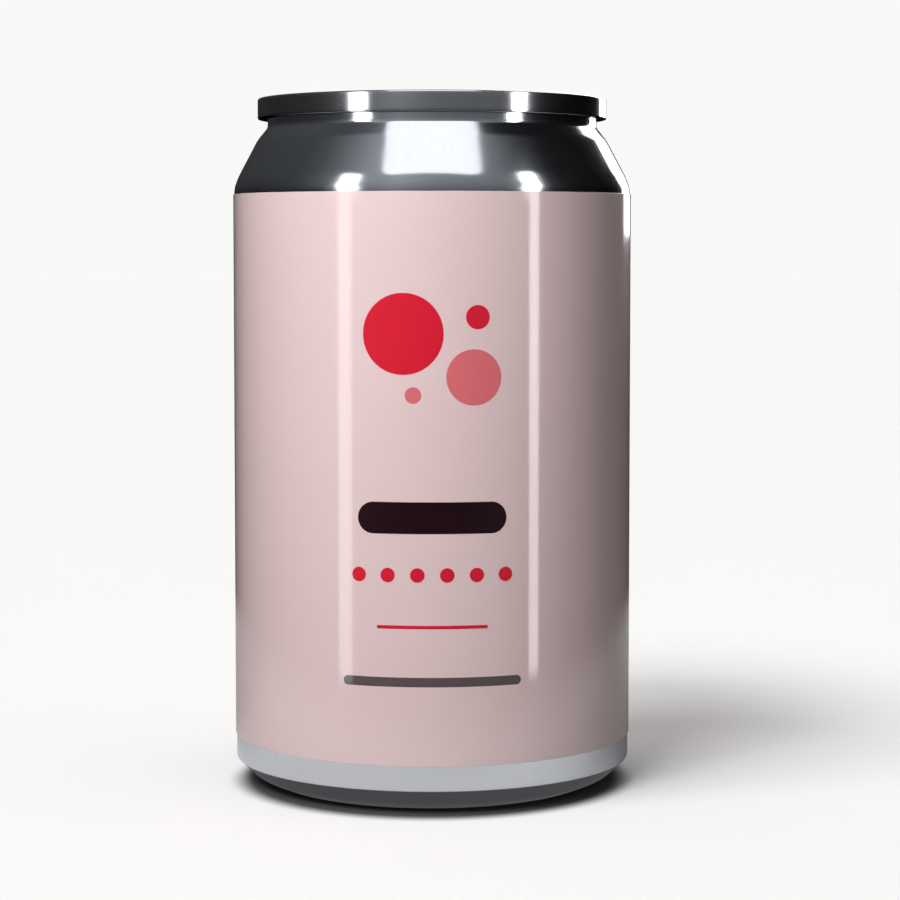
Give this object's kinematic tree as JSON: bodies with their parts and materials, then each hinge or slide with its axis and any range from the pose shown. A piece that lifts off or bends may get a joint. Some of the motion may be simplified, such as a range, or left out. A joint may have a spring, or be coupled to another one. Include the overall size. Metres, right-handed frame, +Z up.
{
  "type": "drinks can",
  "caption": "Shut cylindrical drinks can with a necked-in top, a seamed end with a stay-on pull tab, a domed base and a printed sleeve.",
  "frame": {"origin": "middle of the circle that the can stands on", "axes": "+Z up along the can's axis, -Y towards the front of the print and the mouth, +X to the right seen from the front"},
  "size_m": [0.0666, 0.0666, 0.1141],
  "materials": {
    "drawn_metal": "bright, drawn and ironed, clear varnish",
    "end_metal": "bright rolled sheet",
    "tab_metal": "bright rolled sheet",
    "printed_film": "pale pink printed film, semi-gloss"
  },
  "bodies": {
    "root": {"can_body": "drawn_metal", "can_end": "end_metal", "pull_tab": "tab_metal", "label_sleeve": "printed_film"}
  },
  "joints": []
}
